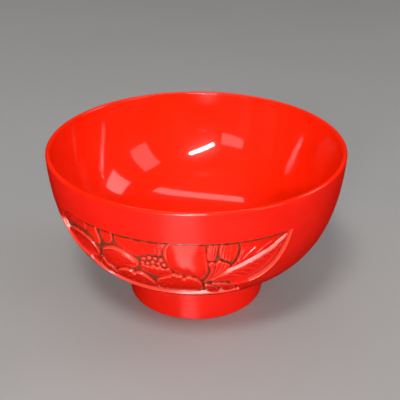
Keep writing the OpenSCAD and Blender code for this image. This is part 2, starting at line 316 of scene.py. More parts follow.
class Shader:
    """A material's node tree, with short ways to add what the lacquers share."""

    def __init__(self, name):
        self.material = bpy.data.materials.new(name)
        self.material.use_nodes = True
        self.nodes = self.material.node_tree.nodes
        self.surface = self.nodes["Principled BSDF"]
        self.place = self.nodes.new("ShaderNodeTexCoord").outputs["Object"]

    def fill(self, node, label, value):
        """Gives an input of a node a number, a colour or another node's output."""
        if isinstance(value, (int, float, tuple)):
            node.inputs[label].default_value = value
        else:
            self.material.node_tree.links.new(value, node.inputs[label])

    def set(self, label, value):
        """Fills an input of the surface."""
        self.fill(self.surface, label, value)

    def add(self, kind, inputs, **settings):
        """A new node with its settings and its inputs."""
        node = self.nodes.new(kind)
        for label, value in settings.items():
            setattr(node, label, value)
        for label, value in inputs.items():
            self.fill(node, label, value)
        return node

    def noise(self, scale, detail=3, roughness=0.55, stretch=None):
        """Noise with scale features to a metre, drawn out along an axis where stretch is given."""
        place = self.place
        if stretch:
            place = self.add("ShaderNodeMapping", {"Vector": place, "Scale": stretch}).outputs["Vector"]
        return self.add("ShaderNodeTexNoise", {"Vector": place, "Scale": scale, "Detail": detail,
                                               "Roughness": roughness}).outputs["Fac"]

    def attribute(self, name):
        """The value that point_values stored under a name."""
        return self.add("ShaderNodeAttribute", {}, attribute_name=name).outputs["Fac"]

    def spread(self, value, low, high, to_low=0, to_high=1):
        """value, from low to high, mapped to to_low to to_high and clamped."""
        return self.add("ShaderNodeMapRange", {"Value": value, "From Min": low, "From Max": high,
                                               "To Min": to_low, "To Max": to_high}).outputs["Result"]

    def times(self, a, b):
        """The clamped product of two values."""
        node = self.add("ShaderNodeMath", {0: a, 1: b}, operation="MULTIPLY", use_clamp=True)
        return node.outputs["Value"]

    def mix(self, factor, a, b):
        """Colour a where factor is 0, and b where it is 1."""
        node = self.add("ShaderNodeMix", {"Factor": factor, MIX_A: a, MIX_B: b}, data_type="RGBA")
        return node.outputs[MIX_RESULT]

    def bump(self, value, strength, distance_m, under=None):
        """A normal bent by value's slope, on top of the normal under where it is given."""
        inputs = {"Height": value, "Strength": strength, "Distance": distance_m}
        if under is not None:
            inputs["Normal"] = under
        return self.add("ShaderNodeBump", inputs).outputs["Normal"]


def lacquer(name, base, rough, peel, fine, shine):
    """Lacquer with slow colour drift, uneven polish, a faint skin texture and fine dust.

    rough is its roughness from best to least polished, peel and fine are the skin's and the dust's
    strengths, and shine is the level of its mirror reflection.
    """
    s = Shader(name)
    drift = s.noise(28, 4)
    darker = tuple(c * DRIFT_DARK for c in base[:3]) + (1,)
    lighter = tuple(min(1, c * DRIFT_LIGHT + DRIFT_LIFT) for c in base[:3]) + (1,)
    s.set("Base Color", s.mix(s.spread(drift, 0.3, 0.7), darker, lighter))
    polish = s.noise(90, 5, 0.6)
    s.set("Roughness", s.spread(polish, 0.3, 0.72, *rough))
    skin = s.bump(s.noise(260, 2, 0.5), peel, 0.0004)
    s.set("Normal", s.bump(s.noise(1900, 3, 0.6), fine, 0.0001, skin))
    s.set("Specular IOR Level", shine)
    return s


def gloss_lacquer():
    """The inside's lacquer, under a clear coat polished to a mirror."""
    s = lacquer("gloss_lacquer", INSIDE_RED, rough=(0.2, 0.26), peel=0.012, fine=0.003, shine=0.06)
    s.set("Coat Weight", 0.6)
    s.set("Coat Roughness", 0.03)
    return s


def satin_lacquer():
    """The outside's lacquer, with a soft sheen."""
    return lacquer("satin_lacquer", VERMILION, rough=(0.28, 0.36), peel=0.03, fine=0.012, shine=0.3)


def carved_lacquer(name, base):
    """Satin lacquer, toned brown with painted shade where its toning value is high, and paler with a
    painted highlight where its highlight value is.
    """
    s = lacquer(name, base, rough=(0.23, 0.32), peel=0.04, fine=0.015, shine=0.42)
    own_colour = s.surface.inputs["Base Color"].links[0].from_socket
    powder = s.noise(700, 4, 0.65)
    amount = s.times(s.attribute("tone_and_shade"), s.spread(powder, 0.3, 0.62, 0.45, 1.15))
    painted_highlight_mix = s.mix(s.times(s.attribute("painted_highlight"), PAINTED_HIGHLIGHT_AMOUNT), own_colour, PAINTED_HIGHLIGHT_RED)
    brown = s.mix(s.spread(s.noise(420, 3), 0.35, 0.65), TONE_AND_SHADE_DARK, TONE_AND_SHADE_BROWN)
    s.set("Base Color", s.mix(amount, painted_highlight_mix, brown))
    return s


def ground_material():
    """The panel's sunk ground: matt, toned olive-brown over red, with chisel texture."""
    s = Shader("toned_ground")
    cloud = s.noise(160, 5, 0.6)
    powder = s.noise(900, 4, 0.7)
    brown = s.mix(s.spread(powder, 0.35, 0.65), TONE_AND_SHADE_DARK, TONE_AND_SHADE_BROWN)
    s.set("Base Color", s.mix(s.spread(cloud, 0.34, 0.66, 0.0, 0.5), brown, DEEP_RED))
    s.set("Roughness", s.spread(powder, 0.3, 0.7, 0.5, 0.75))
    s.set("Normal", s.bump(s.noise(520, 4, 0.6), 0.5, 0.0002))
    return s


def wood_material():
    """Close-grained turned wood, under the coats."""
    s = Shader("turned_wood")
    grain = s.noise(60, 6, 0.6, (6, 6, 1))
    s.set("Base Color", s.mix(s.spread(grain, 0.35, 0.65), WOOD_DARK, WOOD_LIGHT))
    s.set("Roughness", 0.6)
    s.set("Normal", s.bump(grain, 0.2, 0.0002))
    return s


# Each finish is a material and the name of its slot
GLOSS = (gloss_lacquer().material, "gloss_lacquer")
SATIN = (satin_lacquer().material, "satin_lacquer")
PETAL = (carved_lacquer("petal_lacquer", PETAL_RED).material, "petal_lacquer")
LEAF = (carved_lacquer("leaf_lacquer", LEAF_RED).material, "leaf_lacquer")
GROUND = (ground_material().material, "toned_lacquer")
WOOD = wood_material().material


# ---- The panel's outline ----

PANEL_UPPER = [(-66.4, 45.2), (-65, 46.9), (-60.5, 50.6), (-56, 53.2), (-52, 53.9), (-48, 54), (0, 54),
               (35.8, 54)]
PANEL_LOWER_LEFT = [(-66.4, 44.4), (-65, 41.4), (-61.6, 38), (-56.6, 35.2), (-50.8, 33.4)]
PANEL_LOWER = [(-49.8, 32.4), (-47.4, 29), (-43.4, 26), (-36.5, 24.4), (-26, 23.9), (0, 23.9),
               (12, 24.2), (20.5, 24.8)]
PANEL_LOWER_RIGHT = [(20.6, 31), (24, 31.9), (28, 34.3), (31.2, 38), (33.4, 42.6), (34.9, 47.6),
                     (35.8, 53.4)]


def panel_edges():
    """The panel's upper and lower edges, each from left to right."""
    lower = np.vstack([spline(PANEL_LOWER_LEFT, False, 10), spline(PANEL_LOWER, False, 12),
                       spline(PANEL_LOWER_RIGHT, False, 10)])
    upper = spline(PANEL_UPPER, False, 10)
    upper[:, 1] = np.minimum(upper[:, 1], PANEL_TOP_Z)
    return lower, upper


LOWER_EDGE, UPPER_EDGE = panel_edges()
PANEL_LEFT, PANEL_RIGHT = LOWER_EDGE[0, 0], LOWER_EDGE[-1, 0]
# Points of a sheet that are nearer than this are one point
MERGE_GAP = 1e-4
# Angles stand for this radius where the panel's outline is measured along the wall
OUTLINE_R = RIM_R * 0.93


def edge_heights(angles):
    """Heights of the panel's lower and upper edges at some angles."""
    return [np.interp(angles, edge[:, 0], edge[:, 1]) for edge in (LOWER_EDGE, UPPER_EDGE)]


def thick_sheet(name, front, back, faces):
    """A closed solid between an open sheet and the same sheet moved back, with shared points merged."""
    keys = np.round(front / (MM * MERGE_GAP)).astype(np.int64)
    _, first, same = np.unique(keys, axis=0, return_index=True, return_inverse=True)
    same = same.reshape(-1)
    front, back = front[first], back[first]
    n = len(front)
    kept = merged_faces([int(same[i]) for i in face] for face in faces)
    sides = dict.fromkeys(side for ring in kept for side in zip(ring, ring[1:] + ring[:1]))
    rims = [(a, b) for a, b in sides if (b, a) not in sides]
    closed = kept + [tuple(i + n for i in reversed(ring)) for ring in kept]
    closed += [(b, a, a + n, b + n) for a, b in rims]
    return mesh_object(name, np.concatenate([front, back]), closed)


def arc_between(z0, z1, share):
    """Height at a share of the way along the wall from z0 to z1. z0 and z1 may be arrays."""
    s0, s1 = WALL.along(z0), WALL.along(z1)
    return WALL.height(s0 + (s1 - s0) * share)


def make_outer_coat():
    """The outside's satin coat, from the foot to the lip, open at the panel."""
    low_rows, high_rows = 44, 16
    panel_step, rest_count = 0.5, 200
    panel = np.union1d(np.arange(PANEL_LEFT, PANEL_RIGHT, panel_step), LOWER_EDGE[:, 0])
    rest = np.linspace(PANEL_RIGHT, PANEL_LEFT + 360, rest_count)[1:-1]
    angles = np.concatenate([panel, rest])
    open_here = angles <= PANEL_RIGHT
    turn = held((angles - PANEL_RIGHT) / (PANEL_LEFT + 360 - PANEL_RIGHT))
    seam = PANEL_TOP_Z + (UPPER_EDGE[0, 1] - PANEL_TOP_Z) * turn
    below, above = (np.where(open_here, height, seam) for height in edge_heights(angles))
    rows = [arc_between(FOOT_H, below, t) for t in np.linspace(0, 1, low_rows)]
    rows += [arc_between(above, LIP_COAT_Z, t) for t in np.linspace(0, 1, high_rows)]
    count = len(angles)
    # Between the low and the high rows there are faces only at the panel's two ends
    faces = [face for n, face in enumerate(grid_faces(len(rows), count, True))
             if n // count != low_rows - 1 or open_here[n % count] != open_here[(n + 1) % count]]
    front = np.concatenate([carved(angles, z, 0) for z in rows])
    back = np.concatenate([carved(angles, z, COAT_T) for z in rows])
    return thick_sheet("outer_coat", front, back, faces)


def section_points(section, heights, gap):
    """Radius and height points beside a section, at each of some heights."""
    return list(zip(*section.beside(heights, gap)))


def arc(r, z, size, degrees):
    """Radius and height points on a circle of a size round (r, z), at each of some angles."""
    return [(r + size * math.cos(a), z + size * math.sin(a)) for a in np.radians(degrees)]


def make_inner_coat():
    """The inside's gloss coat, from the middle of the floor to the lip."""
    front = section_points(INSIDE, INSIDE.heights(INNER_FLOOR_Z, LIP_COAT_Z, 90)[1:], 0)
    back = section_points(INSIDE, INSIDE.heights(INNER_FLOOR_Z, LIP_COAT_Z, 40)[1:], -COAT_T)
    return turned("inner_coat", [(0, INNER_FLOOR_Z)] + front + back[::-1] + [(0, INNER_FLOOR_Z - COAT_T)])


def make_lip_coats():
    """The rounded lip as two coats that wrap the top of the wood: satin outside, gloss inside."""
    outside = section_points(WALL, WALL.heights(LIP_COAT_Z, WALL_TOP_Z, 8)[:-1], 0)
    top = arc(RIM_R - LIP_R, WALL_TOP_Z, LIP_R, range(0, 181, 10))
    inside = section_points(INSIDE, INSIDE.heights(WALL_TOP_Z, LIP_COAT_Z, 8)[1:], 0)
    # The two coats meet at this point of the top, just over its outer shoulder
    crown = 2
    core_z = WALL_TOP_Z - 0.5
    core_in = [INSIDE.beside(LIP_COAT_Z, -COAT_T), INSIDE.beside(core_z, -COAT_T)]
    core_out = [WALL.beside(core_z, COAT_T), WALL.beside(LIP_COAT_Z, COAT_T)]
    middle = [((core_in[1][0] + core_out[0][0]) / 2, core_z)]
    outer = turned("lip_coat_outer", outside + top[:crown + 1] + middle + core_out)
    inner = turned("lip_coat_inner", top[crown:] + inside + core_in + middle)
    return outer, inner


def make_foot_coat():
    """The coat of the foot ring: its outside, its rounded resting edge and the well's rounded edge."""
    edge = arc(FOOT_R - FOOT_EDGE_R, FOOT_EDGE_R, FOOT_EDGE_R, range(270, 361, 10))
    well_r = FOOT_R - COAT_T - FOOT_T
    well_edge = arc(well_r + WELL_EDGE_R, WELL_EDGE_R, WELL_EDGE_R, range(180, 271, 15))
    wall = [(FOOT_R, FOOT_EDGE_R + (FOOT_H - FOOT_EDGE_R) * t) for t in np.linspace(0.1, 1, 10)]
    return turned("foot_coat", well_edge + edge + wall + [
        (FOOT_R - COAT_T, FOOT_H), (FOOT_R - COAT_T, COAT_T * 2), (well_r, COAT_T * 2)])


def make_well_coat():
    """The coat of the foot's well: its round side and its ceiling, with a small fillet."""
    side_r = FOOT_R - 2 * COAT_T - FOOT_T
    back_r, back_z = side_r + 0.25, FOOT_H - 0.02
    top = FOOT_H - COAT_T
    side = [(side_r, z) for z in (WELL_EDGE_R, 3, 7)]
    bend = arc(side_r - WELL_FILLET_R, top - WELL_FILLET_R, WELL_FILLET_R, range(0, 91, 10))
    ceiling = [(side_r * 0.6, top), (0, top)]
    back = [(0, back_z), (back_r, back_z), (back_r, WELL_EDGE_R)]
    return turned("well_coat", side + bend + ceiling + back)


def outline_loop(count):
    """The panel's whole outline at even spacing, anticlockwise as seen from the front."""
    whole = np.vstack([LOWER_EDGE, UPPER_EDGE[::-1]])
    x = np.radians(whole[:, 0]) * OUTLINE_R
    y = WALL.along(whole[:, 1])
    line = even(np.stack([x, y], 1), True, count)
    return np.degrees(line[:, 0] / OUTLINE_R), WALL.height(line[:, 1])


# The cut's section: how far in from the outline, and how deep
CUT = [(0, 0), (0.05, 0.01), (0.11, 0.05), (0.18, 0.16), (0.24, 0.36), (0.3, 0.72), (0.36, 1.12),
       (0.42, 1.44), (0.5, 1.66)]


def around_step(values):
    """How much a closed row of values changes from the one before to the one after."""
    return np.roll(values, -1) - np.roll(values, 1)


def unit_rows(ways):
    """The same directions, each of length 1."""
    return ways / np.maximum(np.linalg.norm(ways, axis=1), SMALL)[:, None]


def inward_ways(angle, s, radius):
    """Directions into the panel, square to its outline and smoothed along it."""
    way = unit_rows(np.stack([np.radians(around_step(angle)) * radius, around_step(s)], 1))
    for _ in range(3):
        way = unit_rows(np.roll(way, 1, 0) + 2 * way + np.roll(way, -1, 0))
    return np.stack([-way[:, 1], way[:, 0]], 1)


def make_panel_edge():
    """The chiselled edge of the panel, sloping from the outside down to the ground."""
    count = 900
    angle, z = outline_loop(count)
    radius = np.interp(z, WALL.z, WALL.r)
    s = WALL.along(z)
    inward = inward_ways(angle, s, radius)
    back_depth = PANEL_DEPTH + COAT_T - 0.02
    rings = CUT + [(0.5, back_depth), (0.0, back_depth), (0.0, 0.4)]
    points, tone_and_shade, painted_highlight = [], [], []
    # Toning at the foot of the cut. top_edge is 1 on the upper edge, where that toning is a painted
    # shadow, and 0 on the lower one, which gets a painted highlight
    top_edge = held((-inward[:, 1] - 0.3) / 0.4)
    wave = 1 + 0.12 * ripple(np.arange(count) * 0.3, z, 9)
    for w, depth in rings:
        a = angle + np.degrees(w * wave * inward[:, 0] / radius)
        h = WALL.height(s + w * wave * inward[:, 1])
        points.append(carved(a, h, depth))
        tone_and_shade.append(held((depth - 1.0) / 0.3) * (0.3 + 0.7 * top_edge))
        painted_highlight.append((1 - top_edge) * held(1.7 - depth))
    faces = grid_faces(len(rings), count, True)
    last = (len(rings) - 1) * count
    faces += [(last + j, last + (j + 1) % count, (j + 1) % count, j) for j in range(count)]
    return mesh_object("panel_edge", np.concatenate(points), faces, np.concatenate(tone_and_shade),
                       np.concatenate(painted_highlight))


def make_ground():
    """The panel's sunk ground, with shallow chisel marks."""
    rows, angle_step = 60, 0.4
    angles = np.union1d(np.arange(PANEL_LEFT, PANEL_RIGHT, angle_step), LOWER_EDGE[:, 0])
    below, above = edge_heights(angles)
    front, back = [], []
    for t in np.linspace(0, 1, rows):
        z = arc_between(below, above, t)
        rough = 0.05 * ripple(angles * 0.95, z, 3.1, 1) + 0.04 * ripple(angles * 0.95, z, 1.3, 2)
        front.append(carved(angles, z, PANEL_DEPTH - 0.02 + rough))
        back.append(carved(angles, z, PANEL_DEPTH + COAT_T))
    faces = grid_faces(rows, len(angles), False)
    return thick_sheet("panel_ground_coat", np.concatenate(front), np.concatenate(back), faces)


# ---- The relief ----

# How far petals, and leaves, grow past their listed outlines
OUTSET = 0.3
LEAF_OUTSET = 0.2
# How far relief stays under the panel's top edge, how it is rounded beside it, and where a painted shadow
# lies under that edge
TOP_GAP = 0.55
TOP_ROUND = 1.4
TOP_SHADOW_START, TOP_SHADOW_WIDE = 1.0, 0.35
# How far the back of a piece of relief goes into the wood behind the ground
RELIEF_BACK = 0.2
# Rings of points on a piece's back, as shares of its rim
BACK_SHARES = (1.0, 0.66, 0.33)
# Rings of points on its front crowd towards the rim by this power
RING_CROWDING = 1.35
# Half the width of a petal's creases
FOLD_WIDE = 0.24


def outset(rim, gap):
    """A closed line moved outwards by gap."""
    way = unit_rows(np.roll(rim, -2, 0) - np.roll(rim, 2, 0))
    turn = np.sign(np.sum(rim[:, 0] * way[:, 1] - rim[:, 1] * way[:, 0]))
    return rim + gap * turn * np.stack([way[:, 1], -way[:, 0]], 1)


class Patch:
    """Points of one piece of relief in its own flat millimetre frame, for its shape to read."""

    def __init__(self, outline, centre, around, rings, gap):
        rim = spline(outline, True, 12)
        middle = np.array(centre) if centre is not None else rim.mean(axis=0)
        self.angle0, self.s0 = middle[0], WALL.along(middle[1])
        self.radius = float(np.interp(middle[1], WALL.z, WALL.r))
        self.rim = outset(even(self.flat(rim), True, around), gap)
        share = 1 - np.linspace(0, 1, rings) ** RING_CROWDING
        self.share = np.repeat(share, around)
        line = np.tile(self.rim, (rings, 1)) * self.share[:, None]
        self.x, self.y = line[:, 0], line[:, 1]
        self.edge = distance(self.x, self.y, self.rim, True)

    def flat(self, points):
        """Angle and height points as millimetres across and along the wall from the middle."""
        p = np.array(points, float)
        return np.stack([np.radians(p[:, 0] - self.angle0) * self.radius,
                         WALL.along(p[:, 1]) - self.s0], 1)

    def off(self, points):
        """Distance of every point from a smooth line through angle and height points."""
        return distance(self.x, self.y, self.flat(spline(points, False, 8)))

    def solid_points(self, x, y, depth):
        """Points in metres at places in the flat frame and a depth under the wall's surface."""
        angle = self.angle0 + np.degrees(x / self.radius)
        return carved(angle, WALL.height(y + self.s0), depth)


def relief_faces(around, rings):
    """Faces of a closed piece: rings on the front to a middle point, then the back's to its own."""
    front_middle = (rings - 1) * around
    front_last, back = front_middle - around, front_middle + 1
    back_middle = back + len(BACK_SHARES) * around
    back_last = back_middle - around
    sides = [(j, (j + 1) % around) for j in range(around)]
    faces = grid_faces(rings - 1, around, True)
    faces += [(front_last + j, front_last + k, front_middle) for j, k in sides]
    faces += [(k, j, back + j, back + k) for j, k in sides]
    faces += [tuple(reversed(f)) for f in grid_faces(len(BACK_SHARES), around, True, back)]
    faces += [(back_last + k, back_last + j, back_middle) for j, k in sides]
    return faces


def make_relief(name, outline, shape, centre, around, rings, gap):
    """One closed piece of relief. shape reads a Patch and gives rise, toning with painted shade, and
    painted highlight at its points.
    """
    patch = Patch(outline, centre, around, rings, gap)
    rise, tone_and_shade, painted_highlight = shape(patch)
    under_top = PANEL_TOP_Z - TOP_GAP - WALL.height(patch.y + patch.s0)
    rise = np.minimum(rise, PANEL_DEPTH * bevel(under_top, TOP_ROUND))
    # A painted shadow along the foot of the panel's top edge
    tone_and_shade = np.maximum(tone_and_shade, held((TOP_SHADOW_START - under_top) / TOP_SHADOW_WIDE))
    # The innermost ring is one point, so only its first is kept
    kept = (rings - 1) * around + 1
    front = patch.solid_points(patch.x, patch.y, PANEL_DEPTH - rise)[:kept]
    x, y = np.concatenate([patch.rim * share for share in BACK_SHARES] + [np.zeros((1, 2))]).T
    back = patch.solid_points(x, y, PANEL_DEPTH + RELIEF_BACK)
    tone_and_shade = np.concatenate([tone_and_shade[:kept], np.ones(len(back))])
    painted_highlight = np.concatenate([painted_highlight[:kept], np.zeros(len(back))])
    return mesh_object(name, np.concatenate([front, back]), relief_faces(around, rings), tone_and_shade, painted_highlight)


def edge_tone_and_shade(patch, width, strength=1.0):
    """Toning and painted shade that gather where a piece meets the ground."""
    return strength * held(1 - patch.edge / width) ** 1.2


def height_share(patch):
    """0 at the piece's lowest point, 1 at its highest."""
    low, high = patch.rim[:, 1].min(), patch.rim[:, 1].max()
    return held((patch.y - low) / (high - low))


def round_petal_shape(p):
    """A broad smooth dome with a rolled margin on its left and its lower right."""
    dome = 0.55 * shoulder(p.edge, 0.8) + 0.95 * (1 - p.share ** 2.2)
    left = held((-p.x - 2) / 3) * held((p.y + 2) / 4)
    right = held((p.x - 1.5) / 3.0) * held((1 - p.y) / 4)
    groove = ridge(p.edge - 1.5, 0.35) * held(left + right)
    second = ridge(p.edge - 0.75, 0.25) * right
    rise = dome - 0.2 * groove - 0.1 * second + 0.015 * ripple(p.x, p.y, 5)
    # The last value is a painted highlight just inside its edge
    return rise, edge_tone_and_shade(p, 0.3) + 0.25 * groove, 0.5 * ridge(p.edge - 0.6, 0.3)


def creases(p, folds, width):
    """1 along each of some lines and 0 away from them."""
    return sum((ridge(p.off(fold), width) for fold in folds), np.zeros_like(p.x))


def lower_petal_shape(folds):
    """A petal whose scalloped top stands proud and whose foot falls away. folds are creases on it."""
    def shape(p):
        up = height_share(p)
        lean = 0.34 + 1.06 * up ** 0.85
        lip = ridge(p.edge - 0.55, 0.34) * held((up - 0.4) / 0.3)
        pleats = np.sin(p.x * 3.4 + 0.9 * np.sin(0.8 * p.y)) * held((up - 0.55) / 0.4)
        crease = creases(p, folds, FOLD_WIDE)
        rise = shoulder(p.edge, 0.85) * lean + 0.12 * lip + 0.05 * pleats - 0.3 * crease
        # Painted shade towards the petal's foot, and a painted highlight on its lip
        shade = 0.16 * held(1 - up / 0.55)
        return rise, edge_tone_and_shade(p, 0.3) + 0.4 * crease + shade, 0.9 * lip
    return shape


def left_petal_shape(p):
    """A hollowed petal with a thick raised lip along its upper edge."""
    up = height_share(p)
    slope = held((p.y + 0.35 * p.x + 2.4) / 4.5)
    lip = ridge(p.edge - 0.85, 0.6) * slope
    rise = shoulder(p.edge, 0.9) * (0.55 + 0.4 * up) + 0.5 * lip + 0.12 * (1 - p.share ** 2) * (1 - up)
    fold = ridge(p.off([(-28.6, 43.6), (-26.4, 42.8), (-24, 40.6)]), 0.32)
    rise = rise - 0.3 * ridge(p.edge - 2.0, 0.5) * slope + 0.2 * fold
    # The last value is a painted highlight along its upper lip and its fold
    return rise, edge_tone_and_shade(p, 0.3), 0.9 * ridge(p.edge - 0.65, 0.45) * slope + 0.5 * fold


def upper_petal_shape(p):
    """A long smooth petal behind the others, with two short folds at its right end."""
    up = height_share(p)
    rise = bevel(p.edge, 0.7) * (0.5 + 0.4 * up) + 0.35 * bevel(p.edge, 3.0)
    folds = ridge(p.off([(-14.6, 46.9), (-14.1, 48.8), (-14.4, 50.6)]), 0.25)
    folds = folds + ridge(p.off([(-12.9, 47.8), (-12.6, 49.6), (-12.6, 51.4)]), 0.22)
    line = ridge(p.off([(-29, 49.4), (-26.2, 47.6), (-23.4, 46.4), (-20, 47.4), (-15, 48.4)]), 0.3)
    rise = rise - 0.25 * folds + 0.14 * line
    # The last value is a painted highlight just inside its edge
    return rise, edge_tone_and_shade(p, 0.3) + 0.4 * folds, 0.5 * ridge(p.edge - 0.6, 0.4)


def inner_petal_shape(p):
    """The small petal under the stamens, with a scalloped top that dips between the beads."""
    up = height_share(p)
    rise = bevel(p.edge, 0.55) * (0.45 + 0.55 * up) + 0.2 * (1 - p.share ** 2)
    rise = rise + 0.04 * np.sin(p.x * 3.4)
    # The last value is a painted highlight just inside its edge
    return rise, edge_tone_and_shade(p, 0.35), 0.5 * ridge(p.edge - 0.5, 0.3)


def plain_petal_shape(height, folds=()):
    """A low petal with a soft round top and creases where folds run."""
    def shape(p):
        rise = height * (0.66 * bevel(p.edge, 0.6) + 0.34 * bevel(p.edge, 2.2))
        crease = creases(p, folds, FOLD_WIDE)
        # The last value is a painted highlight just inside its edge
        return (rise - 0.16 * crease, edge_tone_and_shade(p, 0.35) + 0.4 * crease,
                0.6 * ridge(p.edge - 0.5, 0.35))
    return shape


def bud_shape(height, lean, grooves):
    """A plump bud with long grooves that follow its length. lean is its tilt, across over up."""
    def shape(p):
        across = p.x - lean * p.y
        wide = max(np.abs(p.rim[:, 0] - lean * p.rim[:, 1]).max(), 0.1)
        along = p.y / (np.abs(p.rim[:, 1]).max() * 1.15)
        bulge = across / (wide * np.sqrt(np.clip(1 - along ** 2, 0.08, 1)))
        cut = sum(ridge(bulge - g, 0.11) for g in grooves) * held(p.edge / 0.5)
        rise = height * (0.55 * bevel(p.edge, 0.6) + 0.45 * bevel(p.edge, 2.0)) - 0.09 * cut
        # The last value is a painted highlight just inside its edge
        return rise, edge_tone_and_shade(p, 0.35) + 0.25 * cut, 0.5 * ridge(p.edge - 0.5, 0.3)
    return shape


def calyx_shape(p):
    """Two lobes over a stalk, with a crease between them and fine ribs down to the stalk."""
    rise = bevel(p.edge, 0.6) * (0.55 + 0.5 * height_share(p)) + 0.2 * bevel(p.edge, 1.6)
    split = ridge(p.off([(7, 43.8), (7, 41.6), (6.4, 38.6), (4.6, 35)]), 0.22)
    ribs = ridge(p.off([(9.2, 44.4), (9, 42), (7.8, 39), (5.4, 35.4)]), 0.18)
    ribs = ribs + ridge(p.off([(10.8, 43.4), (10, 41), (8.4, 38.2)]), 0.16)
    rise = rise - 0.32 * split - 0.16 * ribs
    # The last value is a painted highlight just inside its edge
    return rise, edge_tone_and_shade(p, 0.35) + 0.6 * split + 0.35 * ribs, 0.5 * ridge(p.edge - 0.4, 0.3)


def leaf_shape(height, veins, width, cut, lip=0.0, dish=0.0):
    """A leaf blade. Veins are engraved by cut, or raised where it is negative.

    lip raises the margin, and dish lowers what is inside it.
    """
    def shape(p):
        rise = height * (0.7 * bevel(p.edge, 0.55) + 0.3 * bevel(p.edge, 2.4))
        margin = ridge(p.edge - 0.55, 0.42)
        rise = rise + lip * margin - dish * bevel(p.edge - 0.9, 2.6)
        line = held(creases(p, veins, width)) * held(p.edge / 0.45)
        rise = rise - cut * line
        raised = line if cut < 0 else 0
        engraved = line if cut > 0 else 0
        # The last value is a painted highlight on raised veins and on a raised margin
        return rise, edge_tone_and_shade(p, 0.5) + 0.25 * engraved, 0.55 * raised + 0.7 * margin * (lip > 0.2)
    return shape


def midrib_shape(p):
    """A rib with a long slanting flank on its upper side, a crest, and a steep drop to the lower blade."""
    above = p.off([(angle - MIDRIB_SIDE[0], height + MIDRIB_SIDE[1]) for angle, height in MIDRIB_LINE])
    below = p.off([(angle + MIDRIB_SIDE[0], height - MIDRIB_SIDE[1]) for angle, height in MIDRIB_LINE])
    across = above / (above + below)
    flank = held(across / MIDRIB_CREST)
    drop = held((1 - across) / (1 - MIDRIB_CREST))
    rise = (MIDRIB_LOW + MIDRIB_RISE * np.minimum(flank, drop)) * bevel(p.edge, MIDRIB_EDGE)
    # The last value is a painted highlight down its upper flank
    return rise, edge_tone_and_shade(p, MIDRIB_EDGE, 0.8), 0.9 * flank


def feather(base, tip, ends, bend, count):
    """Side veins from the line base to tip out to points along the line ends, bowed by bend."""
    base, tip, first, last, bend = (np.array(p) for p in (base, tip, *ends, bend))
    veins = []
    for t in (np.arange(count) + 0.5) / count:
        start, stop = base + (tip - base) * (0.06 + 0.8 * t), first + (last - first) * t
        veins.append([start, (start + stop) / 2 + bend, stop])
    return veins


UPPER_STRANDS = [[(17.2, 44.9), (19, 47.4), (21.4, 49.8)], [(22.4, 47), (24.8, 49.2), (27.4, 50.8)],
                 [(15.9, 44), (16.2, 46.6), (17.2, 49.2)]]
LOWER_VEINS = feather((8, 35.4), (33, 49), ((17.4, 33.4), (34, 48)), (0.2, 0.9), 8)
BIG_LEFT_VEINS = (feather((-59, 41), (-42, 42), ((-53, 46), (-43, 45)), (-0.6, 0.2), 6)
                  + feather((-59, 41), (-42, 42), ((-53, 36), (-42, 38.6)), (-0.6, -0.2), 6)
                  + [[(-60, 41), (-51, 42), (-41, 41.4)]])

